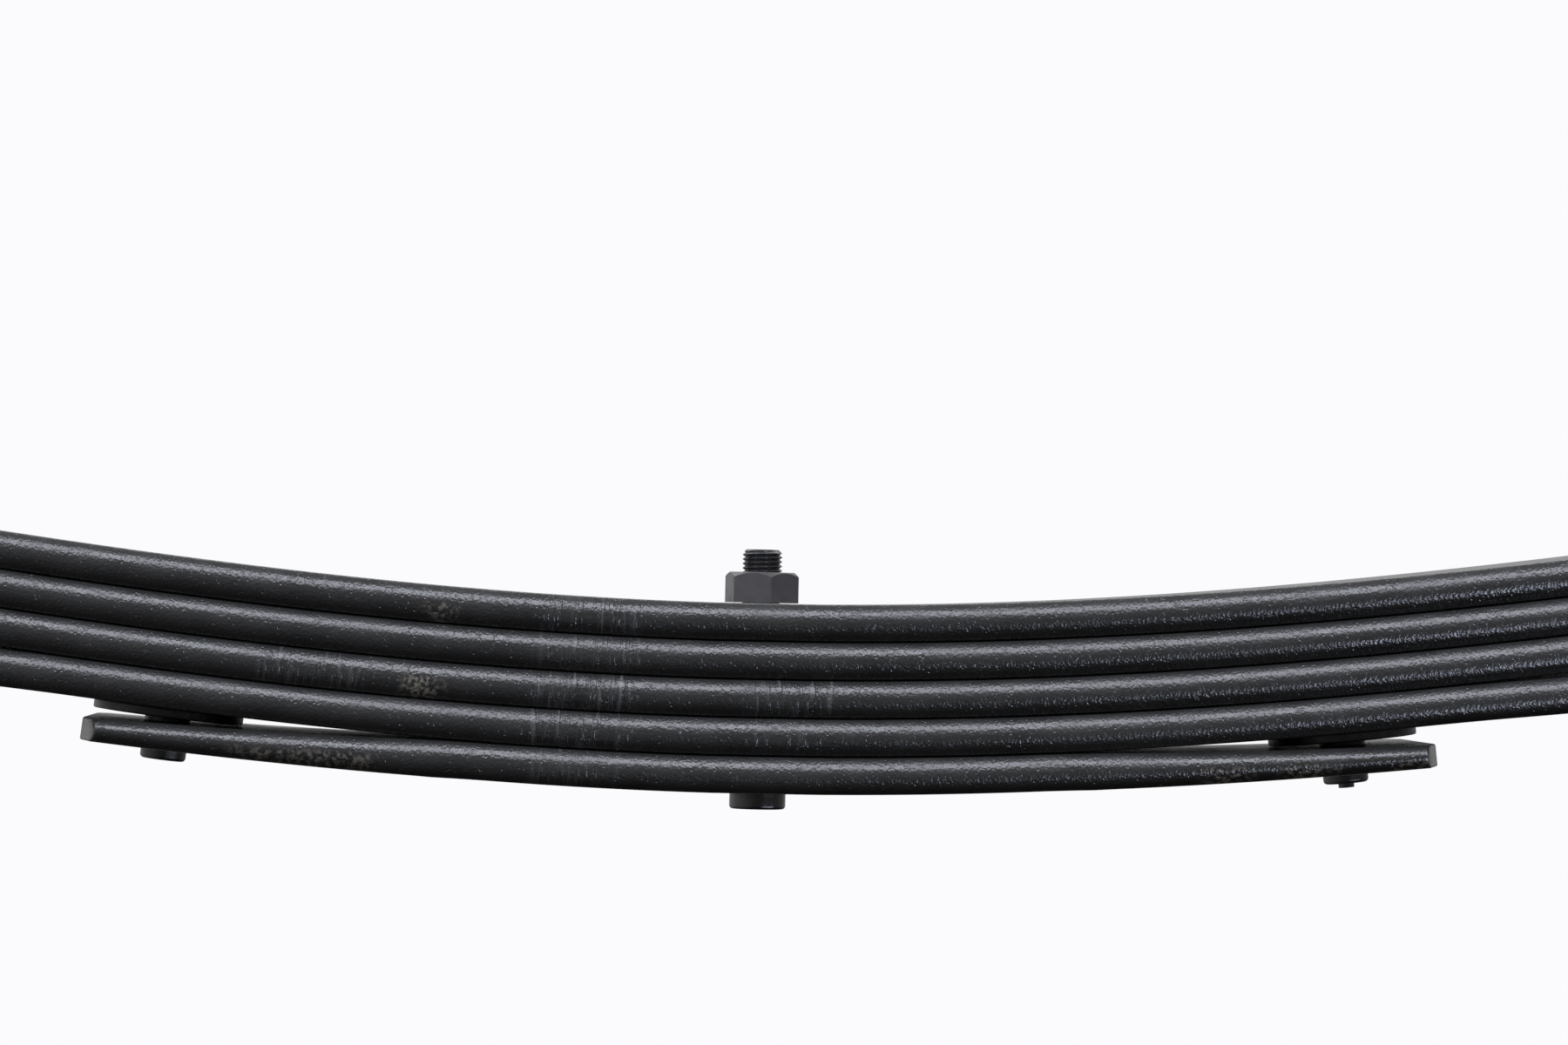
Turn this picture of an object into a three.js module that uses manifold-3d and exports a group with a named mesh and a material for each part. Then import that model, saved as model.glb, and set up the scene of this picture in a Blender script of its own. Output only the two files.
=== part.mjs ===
// Five-leaf semi-elliptic leaf spring for a light truck axle, free height, eyes turned up.
// Millimetres, +Z up. The origin is on the centre bolt's axis, on the face that seats on the axle.
// +X runs along the spring to the front eye, Y runs across the leaves, and the bow is concave upwards.
// Every place along the spring is a station: the arc length from the centre bolt along the main leaf.
import * as THREE from 'three';
import { mergeVertices } from 'three/addons/utils/BufferGeometryUtils.js';
import Module from 'manifold-3d';

const wasm = await Module();
wasm.setup();

// ---- Driving dimensions ----

// Bow of the stack: radius at the seat, radius of the arms, and how far the tighter bend reaches.
const SEAT_RADIUS = 1053;
const ARM_RADIUS = 3450;
const BEND_REACH = 147;
const SEAT_FLAT_HALF = 12;

// Leaf stock
const LEAF_WIDTH = 63.5;
const LEAF_THICKNESS = 8.7;
const LEAF_CLEARANCE = 0.25;
const EDGE_BULGE = 1.7;
const EDGE_ROUND = 2.4;
const TIP_THICKNESS = 5.4;
const TIP_TAPER = 80;
const TIP_CLIP_LENGTH = 3.5;
const TIP_CLIP_WIDTH = 9;

// Lengths: eye centres on the main leaf, half lengths of the leaves that end short of them
const EYE_STATION = 597;
const THIRD_LEAF_HALF = 420;
const FOURTH_LEAF_HALF = 290;
const SHORT_LEAF_HALF = 154.6;

// Stations where a leaf starts to open away from the leaf above it
const THIRD_LEAF_OPENS = 270;
const FOURTH_LEAF_OPENS = 154;
const SHORT_LEAF_OPENS = 61;
const OPENING_BLEND = 20;

// Eyes, rolled from the main leaf, and the second leaf's wrap round them
const EYE_BORE = 38.5;
const EYE_TIP_GAP = 2;
const WRAP_ANGLE = 150;
const WRAP_GAP = 2.5;

// Eye bushings in two flanged halves, and the inner sleeve that the hanger bolt clamps
const BUSH_CLEARANCE = 0.25;
const FLANGE_DIAMETER = 51;
const FLANGE_THICKNESS = 5;
const SLEEVE_DIAMETER = 19;
const SLEEVE_BORE = 14.3;
const SLEEVE_PROUD = 0.6;
const FACE_GAP = 0.3;

// Centre bolt, head down as the axle locating dowel, and its nut
const BOLT_DIAMETER = 9.5;
const BOLT_HOLE_CLEARANCE = 0.3;
const BOLT_HEAD_DIAMETER = 13.4;
const BOLT_HEAD_HEIGHT = 4.4;
const BOLT_HEAD_CHAMFER = 0.8;
const STUD_PROUD = 5.4;
const STUD_CHAMFER = 0.9;
const NUT_FLATS = 15.9;
const NUT_HEIGHT = 7.3;
const NUT_CHAMFER = 1.2;
const NUT_TURN = 41;
const SEAT_GAP = 0.15;

// Anti-friction pads under the ends of the leaves above, snapped through the leaf they sit on
const PAD_FROM_TIP = 18;
const PAD_DIAMETER = 35.5;
const PAD_THICKNESS = 2.2;
const PAD_CLEARANCE = 0.25;
const PAD_PIN_DIAMETER = 10.8;
const PAD_PIN_CLEARANCE = 0.3;
const PAD_FOOT = 3.1;
const PAD_FOOT_ROUND = 0.9;

// Rebound clips: a riveted strap, with a bolt and a spacer tube over the main leaf
const INNER_CLIP_STATION = 228;
const OUTER_CLIP_STATION = 358;
const CLIP_WIDTH = 25;
const CLIP_THICKNESS = 5;
const CLIP_BEND_RADIUS = 7;
const CLIP_SIDE_GAP = 1.5;
const CLIP_TOP_GAP = 3;
const CLIP_TUBE_DIAMETER = 14;
const CLIP_TUBE_BORE = 9;
const CLIP_BOLT_DIAMETER = 8;
const CLIP_BOLT_CLEARANCE = 0.3;
const CLIP_HEX_FLATS = 13;
const CLIP_HEAD_HEIGHT = 5.3;
const CLIP_NUT_HEIGHT = 6.5;
const CLIP_HEX_CHAMFER = 0.8;
const CLIP_BOLT_PROUD = 3;
const RIVET_DIAMETER = 8;
const RIVET_HEAD_DIAMETER = 15;
const RIVET_HEAD_HEIGHT = 4.2;
const RIVET_SINK_DIAMETER = 12.5;
const RIVET_SINK_DEPTH = 2;
const RIVET_CLEARANCE = 0.3;

// Fineness of the model
const BOW_STEP = 1;
const STATION_STEP = 27;
const EYE_STEP = 15;
const ROUND_SEGMENTS = 20;
const PIN_SEGMENTS = 12;
const DOME_STEPS = 3;
const BEND_SEGMENTS = 4;
const LEG_SEGMENTS = 7;
const CUT_MARGIN = 1;

// ---- Materials ----

const finishes = {
  leaf: { color: 0x2a2b2e, roughness: 0.4, metalness: 0.3 },
  zinc: { color: 0x8a8c8e, roughness: 0.35, metalness: 0.9 },
  boltBlack: { color: 0x3a3b3e, roughness: 0.45, metalness: 0.6 },
  nylon: { color: 0x303133, roughness: 0.6, metalness: 0 },
  rubber: { color: 0x151515, roughness: 0.8, metalness: 0 },
};

function piece(name, geometry, finish) {
  const mesh = new THREE.Mesh(geometry, new THREE.MeshStandardMaterial(finishes[finish]));
  mesh.name = name;
  return mesh;
}

// ---- Solids ----

// A closed geometry as a solid that can be cut; faces that shrink to a line on an axis are dropped.
function solidOf(geometry) {
  const bare = geometry.clone();
  bare.deleteAttribute('normal');
  bare.deleteAttribute('uv');
  const merged = mergeVertices(bare, 1e-4);
  const corners = [...merged.index.array];
  const kept = [];
  for (let i = 0; i < corners.length; i += 3) {
    const [a, b, c] = corners.slice(i, i + 3);
    if (a !== b && b !== c && a !== c) kept.push(a, b, c);
  }
  return new wasm.Manifold(new wasm.Mesh({
    numProp: 3,
    vertProperties: merged.attributes.position.array,
    triVerts: new Uint32Array(kept),
  }));
}

function geometryOf(solid) {
  const { vertProperties, triVerts } = solid.getMesh();
  const geometry = new THREE.BufferGeometry();
  geometry.setAttribute('position', new THREE.BufferAttribute(vertProperties, 3));
  geometry.setIndex(new THREE.BufferAttribute(triVerts, 1));
  return geometry;
}

// A body turned about the vertical axis from a list of [radius, height] points, outer side going up.
function turnedUpright(profile, segments = ROUND_SEGMENTS) {
  const points = profile.map(([radius, height]) => new THREE.Vector2(radius, height));
  return new THREE.LatheGeometry(points, segments).rotateX(Math.PI / 2);
}

// The same, about an axis along Y.
function turnedAcross(profile, segments = ROUND_SEGMENTS) {
  const points = profile.map(([radius, height]) => new THREE.Vector2(radius, height));
  return new THREE.LatheGeometry(points, segments);
}

function ring(inner, outer, from, to) {
  return [[inner, from], [outer, from], [outer, to], [inner, to], [inner, from]];
}

function rod(radius, from, to) {
  return [[0, from], [radius, from], [radius, to], [0, to]];
}

// A hexagon prism along Z from `from` to `to`, corners chamfered at the ends that are asked for.
function hexagon(flats, from, to, chamfer, ends, turn = 0) {
  const reach = flats / Math.sqrt(3);
  const clear = reach + CUT_MARGIN;
  const outline = new THREE.Shape();
  for (let corner = 0; corner < 6; corner += 1) {
    const angle = THREE.MathUtils.degToRad(turn + corner * 60);
    const point = [reach * Math.cos(angle), reach * Math.sin(angle)];
    if (corner === 0) outline.moveTo(...point);
    else outline.lineTo(...point);
  }
  const prism = new THREE.ExtrudeGeometry(outline, { depth: to - from, bevelEnabled: false });
  prism.translate(0, 0, from);
  const [low, high] = [ends.bottom, ends.top].map((cut) => (cut ? 0 : CUT_MARGIN));
  const fall = chamfer * (clear - flats / 2) / (reach - flats / 2);
  const cone = turnedUpright([
    [0, from - low],
    [ends.bottom ? flats / 2 : clear, from - low],
    [clear, from + (ends.bottom ? fall : 0)],
    [clear, to - (ends.top ? fall : 0)],
    [ends.top ? flats / 2 : clear, to + high],
    [0, to + high],
  ]);
  return solidOf(prism).intersect(solidOf(cone));
}

// ---- The bow and the stack ----

const leaves = [
  { name: 'main_leaf', half: EYE_STATION },
  { name: 'second_leaf', half: EYE_STATION },
  { name: 'third_leaf', half: THIRD_LEAF_HALF, opens: THIRD_LEAF_OPENS },
  { name: 'fourth_leaf', half: FOURTH_LEAF_HALF, opens: FOURTH_LEAF_OPENS },
  { name: 'short_leaf', half: SHORT_LEAF_HALF, opens: SHORT_LEAF_OPENS },
];
const STACK_PITCH = LEAF_THICKNESS + LEAF_CLEARANCE;
const STACK_DEPTH = leaves.length * STACK_PITCH - LEAF_CLEARANCE;
const CUT_REACH = 2 * STACK_DEPTH;

// A point of the main leaf's upper face and its slope. The curvature falls from the seat's to the
// arms' along a bell curve of the station and is summed in short steps.
function bow(station) {
  const side = Math.sign(station);
  const steps = Math.max(1, Math.ceil(Math.abs(station) / BOW_STEP));
  const step = Math.abs(station) / steps;
  let slope = 0;
  let x = 0;
  let z = 0;
  for (let i = 0; i < steps; i += 1) {
    const bell = Math.exp(-(((i + 0.5) * step / BEND_REACH) ** 2));
    const curvature = 1 / ARM_RADIUS + (1 / SEAT_RADIUS - 1 / ARM_RADIUS) * bell;
    x += Math.cos(slope + curvature * step / 2) * step;
    z += Math.sin(slope + curvature * step / 2) * step;
    slope += curvature * step;
  }
  return { x: side * x, z, slope: side * slope };
}

// The point a given depth below the main leaf's upper face, square to it.
function below(station, depth) {
  const { x, z, slope } = bow(station);
  return new THREE.Vector2(x + depth * Math.sin(slope), z - depth * Math.cos(slope) + SEAT_LEVEL);
}

const SEAT_LEVEL = STACK_DEPTH * Math.cos(bow(SEAT_FLAT_HALF).slope) - bow(SEAT_FLAT_HALF).z;

// A group standing on that point: its X runs along the leaf towards the front, its Z is square to it.
function frameAt(station, depth) {
  const { slope } = bow(station);
  const point = below(station, depth);
  const group = new THREE.Group();
  group.position.set(point.x, 0, point.y);
  group.rotation.y = -slope;
  group.updateMatrix();
  return group;
}

// Length of the ramp that a leaf opens along: nothing, then a parabola, then a straight line.
function ramp(distance) {
  if (distance <= 0) return 0;
  if (distance < OPENING_BLEND) return distance ** 2 / (2 * OPENING_BLEND);
  return distance - OPENING_BLEND / 2;
}

// How far a leaf stands off the leaf above it: the pad just fits in at its inner edge.
function opening(leaf, station) {
  if (leaf.opens === undefined) return 0;
  const padInnerEdge = leaf.half - PAD_FROM_TIP - PAD_DIAMETER / 2;
  const room = PAD_THICKNESS + 2 * PAD_CLEARANCE - LEAF_CLEARANCE;
  return room * ramp(Math.abs(station) - leaf.opens) / ramp(padInnerEdge - leaf.opens);
}

function upperDepth(index, station) {
  let depth = index * STACK_PITCH;
  for (let i = 0; i <= index; i += 1) depth += opening(leaves[i], station);
  return depth;
}

function thickness(index, station) {
  const leaf = leaves[index];
  if (leaf.opens === undefined) return LEAF_THICKNESS;
  const taper = Math.max(0, (Math.abs(station) - leaf.half + TIP_TAPER) / TIP_TAPER);
  return LEAF_THICKNESS - (LEAF_THICKNESS - TIP_THICKNESS) * taper;
}

function lowerDepth(index, station) {
  return upperDepth(index, station) + thickness(index, station);
}

// A frame on a leaf's underside, level with the underside over a given length of it.
function undersideFrame(index, station, length) {
  const frame = frameAt(station, lowerDepth(index, station));
  const [from, to] = [station - length / 2, station + length / 2].map((s) => below(s, lowerDepth(index, s)));
  frame.rotation.y = -Math.atan2(to.y - from.y, to.x - from.x);
  frame.updateMatrix();
  return frame;
}

function stations(half) {
  const steps = Math.ceil((half - SEAT_FLAT_HALF) / STATION_STEP);
  const front = [];
  for (let i = 0; i <= steps; i += 1) front.push(SEAT_FLAT_HALF + (half - SEAT_FLAT_HALF) * i / steps);
  return [...front.map((s) => -s).reverse(), ...front];
}

// ---- Leaves ----

// A side outline drawn across the leaf's width, its long edges rounded outwards.
function acrossWidth(outline) {
  const geometry = new THREE.ExtrudeGeometry(new THREE.Shape(outline), {
    depth: LEAF_WIDTH - 2 * EDGE_BULGE,
    bevelEnabled: true,
    bevelThickness: EDGE_BULGE,
    bevelSize: EDGE_ROUND,
    bevelOffset: -EDGE_ROUND,
    bevelSegments: 1,
  });
  geometry.translate(0, 0, EDGE_BULGE - LEAF_WIDTH / 2);
  return geometry.rotateX(Math.PI / 2);
}

const EYE_RADIUS = EYE_BORE / 2;
const EYE_OUTER = EYE_RADIUS + LEAF_THICKNESS;

// The eye's centre and the directions that its angles are measured in, from its lowest point outwards.
function eyeFrame(side) {
  const { slope } = bow(side * EYE_STATION);
  const up = new THREE.Vector2(-Math.sin(slope), Math.cos(slope));
  const out = new THREE.Vector2(side * Math.cos(slope), side * Math.sin(slope));
  return { up, out, centre: below(side * EYE_STATION, 0).addScaledVector(up, EYE_RADIUS) };
}

function aroundEye(side, angle, radius) {
  const { up, out, centre } = eyeFrame(side);
  const point = centre.clone();
  return point.addScaledVector(out, radius * Math.sin(angle)).addScaledVector(up, -radius * Math.cos(angle));
}

// Both faces of a strip bent round an eye, up to `last`, as [upper or inner face, lower or outer face].
// The inner face's flats touch the true radius from outside.
function bentEnd(side, last, innerRadius) {
  const steps = Math.ceil(THREE.MathUtils.radToDeg(last) / EYE_STEP);
  const pairs = [];
  for (let i = 1; i <= steps; i += 1) {
    const angle = last * i / steps;
    const radius = innerRadius(i / steps) / Math.cos(last / steps / 2);
    pairs.push([aroundEye(side, angle, radius), aroundEye(side, angle, radius + LEAF_THICKNESS)]);
  }
  return pairs;
}

// The leaf's own side outline: its upper face from one end to the other, then its lower face back.
function leafOutline(index) {
  const faces = (s) => [below(s, upperDepth(index, s)), below(s, lowerDepth(index, s))];
  const pairs = stations(leaves[index].half).map(faces);
  const eyeTip = 2 * Math.PI - Math.acos((EYE_RADIUS - EYE_TIP_GAP) / EYE_OUTER);
  const wrapTip = THREE.MathUtils.degToRad(WRAP_ANGLE);
  const wrapRadius = (share) => EYE_OUTER + LEAF_CLEARANCE + (WRAP_GAP - LEAF_CLEARANCE) * share;
  for (const side of [-1, 1]) {
    let end = [];
    if (index === 0) end = bentEnd(side, eyeTip, () => EYE_RADIUS);
    if (index === 1) end = bentEnd(side, wrapTip, wrapRadius);
    if (side > 0) pairs.push(...end);
    else pairs.unshift(...end.reverse());
  }
  const uppers = pairs.map((pair) => pair[0]);
  const lowers = pairs.map((pair) => pair[1]);
  return [...uppers.reverse(), ...lowers];
}

// Corners cut off a leaf's tips, as upright wedges just past the cut line.
function tipClips(index) {
  const { half } = leaves[index];
  const clips = [];
  for (const end of [-1, 1]) {
    for (const side of [-1, 1]) {
      const cutEdge = LEAF_WIDTH / 2;
      const wedge = new THREE.Shape([
        new THREE.Vector2(-2 * end * TIP_CLIP_LENGTH, side * (cutEdge + TIP_CLIP_WIDTH)),
        new THREE.Vector2(end * TIP_CLIP_LENGTH, side * (cutEdge - 2 * TIP_CLIP_WIDTH)),
        new THREE.Vector2(2 * end * TIP_CLIP_LENGTH, side * (cutEdge + TIP_CLIP_WIDTH)),
      ]);
      const geometry = new THREE.ExtrudeGeometry(wedge, { depth: 2 * CUT_REACH, bevelEnabled: false });
      geometry.translate(0, 0, -CUT_REACH);
      clips.push(solidOf(geometry.applyMatrix4(frameAt(end * half, upperDepth(index, half)).matrix)));
    }
  }
  return clips;
}

// An upright hole through a leaf, cut in the frame of what passes through it.
function holeAt(frame, radius) {
  return solidOf(turnedUpright(rod(radius, -CUT_REACH, CUT_REACH)).applyMatrix4(frame.matrix));
}

// ---- Pads ----

// The pad under a leaf's tip stands in a frame on the underside of the leaf above.
function padFrame(index, end) {
  return undersideFrame(index - 1, end * (leaves[index].half - PAD_FROM_TIP), PAD_DIAMETER);
}

// A disc that the leaf above slides on, its pin through the leaf below and the foot that snaps under it.
function padGeometry(index) {
  const station = leaves[index].half - PAD_FROM_TIP;
  const top = -PAD_CLEARANCE;
  const under = top - PAD_THICKNESS;
  const foot = lowerDepth(index - 1, station) - lowerDepth(index, station) - PAD_FOOT;
  const pin = PAD_PIN_DIAMETER / 2;
  return turnedUpright([
    [0, foot],
    [pin - PAD_FOOT_ROUND, foot],
    [pin, foot + PAD_FOOT_ROUND],
    [pin, under],
    [PAD_DIAMETER / 2, under],
    [PAD_DIAMETER / 2, top],
    [0, top],
  ]);
}

// ---- Rebound clips ----

const CLIP_INNER_HALF = LEAF_WIDTH / 2 + CLIP_SIDE_GAP;
const CLIP_OUTER_HALF = CLIP_INNER_HALF + CLIP_THICKNESS;
const clips = [
  { name: 'inner_clip', index: 3, station: INNER_CLIP_STATION },
  { name: 'outer_clip', index: 2, station: OUTER_CLIP_STATION },
];

// A clip stands in a frame on the underside of the leaf that it is riveted to.
function clipFrame(clip, end) {
  return undersideFrame(clip.index, end * clip.station, CLIP_WIDTH);
}

function clipBoltHeight(clip) {
  return lowerDepth(clip.index, clip.station) + CLIP_TOP_GAP + CLIP_TUBE_DIAMETER / 2;
}

// A rivet: domed head under the strap, shank, and an upper head sunk flush in the leaf.
function rivetProfile(clip, clearance) {
  const leafTop = thickness(clip.index, clip.station);
  const shank = RIVET_DIAMETER / 2 + clearance;
  const sink = RIVET_SINK_DIAMETER / 2 + clearance;
  const strapUnder = -FACE_GAP - CLIP_THICKNESS;
  if (clearance > 0) {
    return [
      [0, strapUnder],
      [shank, strapUnder],
      [shank, leafTop - RIVET_SINK_DEPTH - clearance],
      [sink, leafTop],
      [sink, leafTop + CUT_MARGIN],
      [0, leafTop + CUT_MARGIN],
    ];
  }
  const headTop = strapUnder - SEAT_GAP;
  const dome = [];
  for (let i = 0; i <= DOME_STEPS; i += 1) {
    const angle = Math.PI / 2 * i / DOME_STEPS;
    dome.push([RIVET_HEAD_DIAMETER / 2 * Math.sin(angle), headTop - RIVET_HEAD_HEIGHT * Math.cos(angle)]);
  }
  return [
    ...dome,
    [shank, headTop],
    [shank, leafTop - RIVET_SINK_DEPTH - SEAT_GAP],
    [sink, leafTop - SEAT_GAP],
    [0, leafTop - SEAT_GAP],
  ];
}

// A U of flat strap round the leaves, its two legs rounded over the bolt.
function strapSolid(clip) {
  const bolt = clipBoltHeight(clip);
  const under = -FACE_GAP - CLIP_THICKNESS;
  const top = bolt + CLIP_WIDTH / 2 + CUT_MARGIN;
  const outerBend = CLIP_BEND_RADIUS;
  const innerBend = CLIP_BEND_RADIUS - CLIP_THICKNESS;
  const outline = new THREE.Shape();
  outline.moveTo(-CLIP_OUTER_HALF, top);
  outline.lineTo(-CLIP_OUTER_HALF, under + outerBend);
  const outerLevel = under + outerBend;
  outline.absarc(outerBend - CLIP_OUTER_HALF, outerLevel, outerBend, Math.PI, 1.5 * Math.PI, false);
  outline.absarc(CLIP_OUTER_HALF - outerBend, outerLevel, outerBend, 1.5 * Math.PI, 2 * Math.PI, false);
  outline.lineTo(CLIP_OUTER_HALF, top);
  outline.lineTo(CLIP_INNER_HALF, top);
  outline.absarc(CLIP_INNER_HALF - innerBend, innerBend - FACE_GAP, innerBend, 0, -0.5 * Math.PI, true);
  outline.absarc(innerBend - CLIP_INNER_HALF, innerBend - FACE_GAP, innerBend, 1.5 * Math.PI, Math.PI, true);
  outline.lineTo(-CLIP_INNER_HALF, top);
  const flat = { depth: CLIP_WIDTH, bevelEnabled: false, curveSegments: BEND_SEGMENTS };
  const bent = new THREE.ExtrudeGeometry(outline, flat);
  bent.translate(0, 0, -CLIP_WIDTH / 2).rotateX(Math.PI / 2).rotateZ(Math.PI / 2);

  const side = new THREE.Shape();
  side.moveTo(-CLIP_WIDTH / 2, under - CUT_MARGIN);
  side.lineTo(CLIP_WIDTH / 2, under - CUT_MARGIN);
  side.absarc(0, bolt, CLIP_WIDTH / 2, 0, Math.PI, false);
  const across = 2 * (CLIP_OUTER_HALF + CUT_MARGIN);
  const cut = { depth: across, bevelEnabled: false, curveSegments: LEG_SEGMENTS };
  const blade = new THREE.ExtrudeGeometry(side, cut);
  blade.translate(0, 0, -across / 2).rotateX(Math.PI / 2);

  const boltRadius = CLIP_BOLT_DIAMETER / 2 + CLIP_BOLT_CLEARANCE;
  const boltHole = turnedAcross(rod(boltRadius, -across / 2, across / 2), PIN_SEGMENTS).translate(0, 0, bolt);
  const rivetRadius = RIVET_DIAMETER / 2 + RIVET_CLEARANCE;
  const rivetHole = turnedUpright(rod(rivetRadius, under - CUT_MARGIN, CUT_MARGIN), PIN_SEGMENTS);
  return solidOf(bent).intersect(solidOf(blade)).subtract(solidOf(boltHole)).subtract(solidOf(rivetHole));
}

// Hex bolt across the clip, its head towards -Y, and the nut on its far end.
function clipBoltSolid() {
  const seat = CLIP_OUTER_HALF + SEAT_GAP;
  const end = seat + CLIP_NUT_HEIGHT + CLIP_BOLT_PROUD;
  const head = hexagon(CLIP_HEX_FLATS, seat, seat + CLIP_HEAD_HEIGHT, CLIP_HEX_CHAMFER, { top: true });
  const shank = solidOf(turnedUpright(rod(CLIP_BOLT_DIAMETER / 2, -end, seat + CUT_MARGIN), PIN_SEGMENTS));
  return head.add(shank);
}

function clipNutSolid() {
  const seat = CLIP_OUTER_HALF + SEAT_GAP;
  const far = seat + CLIP_NUT_HEIGHT;
  const body = hexagon(CLIP_HEX_FLATS, -far, -seat, CLIP_HEX_CHAMFER, { top: true, bottom: true });
  const bore = CLIP_BOLT_DIAMETER / 2 + CLIP_BOLT_CLEARANCE;
  return body.subtract(solidOf(turnedUpright(rod(bore, -far - CUT_MARGIN, CUT_MARGIN - seat), PIN_SEGMENTS)));
}

function clipPieces(prefix, clip) {
  const bolt = clipBoltHeight(clip);
  const tubeHalf = CLIP_INNER_HALF - FACE_GAP;
  const tube = ring(CLIP_TUBE_BORE / 2, CLIP_TUBE_DIAMETER / 2, -tubeHalf, tubeHalf);
  const across = (solid) => geometryOf(solid).rotateX(Math.PI / 2).translate(0, 0, bolt);
  return [
    piece(`${prefix}_strap`, geometryOf(strapSolid(clip)), 'leaf'),
    piece(`${prefix}_rivet`, turnedUpright(rivetProfile(clip, 0), PIN_SEGMENTS), 'leaf'),
    piece(`${prefix}_tube`, turnedAcross(tube, PIN_SEGMENTS).translate(0, 0, bolt), 'leaf'),
    piece(`${prefix}_bolt`, across(clipBoltSolid()), 'boltBlack'),
    piece(`${prefix}_nut`, across(clipNutSolid()), 'boltBlack'),
  ];
}

// ---- Leaves with their holes ----

function leafGeometry(index) {
  let solid = solidOf(acrossWidth(leafOutline(index)));
  const boltAxis = new THREE.Group();
  solid = solid.subtract(holeAt(boltAxis, BOLT_DIAMETER / 2 + BOLT_HOLE_CLEARANCE));
  if (leaves[index].opens !== undefined) {
    for (const wedge of tipClips(index)) solid = solid.subtract(wedge);
    for (const end of [-1, 1]) {
      solid = solid.subtract(holeAt(padFrame(index, end), PAD_PIN_DIAMETER / 2 + PAD_PIN_CLEARANCE));
    }
  }
  for (const clip of clips.filter((one) => one.index === index)) {
    for (const end of [-1, 1]) {
      const hole = turnedUpright(rivetProfile(clip, RIVET_CLEARANCE), PIN_SEGMENTS);
      solid = solid.subtract(solidOf(hole.applyMatrix4(clipFrame(clip, end).matrix)));
    }
  }
  return geometryOf(solid);
}

// ---- Centre bolt ----

function centreBoltGeometry() {
  const head = BOLT_HEAD_DIAMETER / 2;
  const shank = BOLT_DIAMETER / 2;
  const nutTop = STACK_DEPTH + SEAT_GAP + NUT_HEIGHT;
  return turnedUpright([
    [0, -SEAT_GAP - BOLT_HEAD_HEIGHT],
    [head - BOLT_HEAD_CHAMFER, -SEAT_GAP - BOLT_HEAD_HEIGHT],
    [head, -SEAT_GAP - BOLT_HEAD_HEIGHT + BOLT_HEAD_CHAMFER],
    [head, -SEAT_GAP],
    [shank, -SEAT_GAP],
    [shank, nutTop + STUD_PROUD - STUD_CHAMFER],
    [shank - STUD_CHAMFER, nutTop + STUD_PROUD],
    [0, nutTop + STUD_PROUD],
  ]);
}

function centreNutGeometry() {
  const seat = STACK_DEPTH + SEAT_GAP;
  const body = hexagon(NUT_FLATS, seat, seat + NUT_HEIGHT, NUT_CHAMFER, { top: true }, NUT_TURN);
  const bore = BOLT_DIAMETER / 2 + BOLT_HOLE_CLEARANCE;
  const hole = rod(bore, seat - CUT_MARGIN, seat + NUT_HEIGHT + CUT_MARGIN);
  return geometryOf(body.subtract(solidOf(turnedUpright(hole))));
}

// ---- Eyes ----

// Two flanged bushing halves from either side and the sleeve through both, about the eye's centre.
function eyePieces(prefix) {
  const body = EYE_RADIUS - BUSH_CLEARANCE;
  const bore = SLEEVE_DIAMETER / 2 + BUSH_CLEARANCE;
  const flangeFace = LEAF_WIDTH / 2 + FACE_GAP;
  const half = [
    [bore, FACE_GAP / 2],
    [body, FACE_GAP / 2],
    [body, flangeFace],
    [FLANGE_DIAMETER / 2, flangeFace],
    [FLANGE_DIAMETER / 2, flangeFace + FLANGE_THICKNESS],
    [bore, flangeFace + FLANGE_THICKNESS],
    [bore, FACE_GAP / 2],
  ];
  const sleeveHalf = flangeFace + FLANGE_THICKNESS + SLEEVE_PROUD;
  const sleeve = ring(SLEEVE_BORE / 2, SLEEVE_DIAMETER / 2, -sleeveHalf, sleeveHalf);
  return [
    piece(`${prefix}_bushing_left`, turnedAcross(half), 'rubber'),
    piece(`${prefix}_bushing_right`, turnedAcross(half).rotateZ(Math.PI), 'rubber'),
    piece(`${prefix}_sleeve`, turnedAcross(sleeve), 'zinc'),
  ];
}

// ---- Assembly ----

const spring = new THREE.Group();
leaves.forEach((leaf, index) => spring.add(piece(leaf.name, leafGeometry(index), 'leaf')));
spring.add(piece('centre_bolt', centreBoltGeometry(), 'boltBlack'));
spring.add(piece('centre_nut', centreNutGeometry(), 'boltBlack'));

for (const [end, prefix] of [[1, 'front'], [-1, 'rear']]) {
  const eye = new THREE.Group();
  const { centre } = eyeFrame(end);
  eye.position.set(centre.x, 0, centre.y);
  eye.add(...eyePieces(`${prefix}_eye`));
  spring.add(eye);

  leaves.forEach((leaf, index) => {
    if (leaf.opens === undefined) return;
    const tip = padFrame(index, end);
    tip.add(piece(`${prefix}_${leaf.name}_pad`, padGeometry(index), 'nylon'));
    spring.add(tip);
  });

  for (const clip of clips) {
    const stand = clipFrame(clip, end);
    stand.add(...clipPieces(`${prefix}_${clip.name}`, clip));
    spring.add(stand);
  }
}

export default spring;
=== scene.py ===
import math

import bmesh
import bpy
import numpy as np
from mathutils import Matrix, Vector


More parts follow.
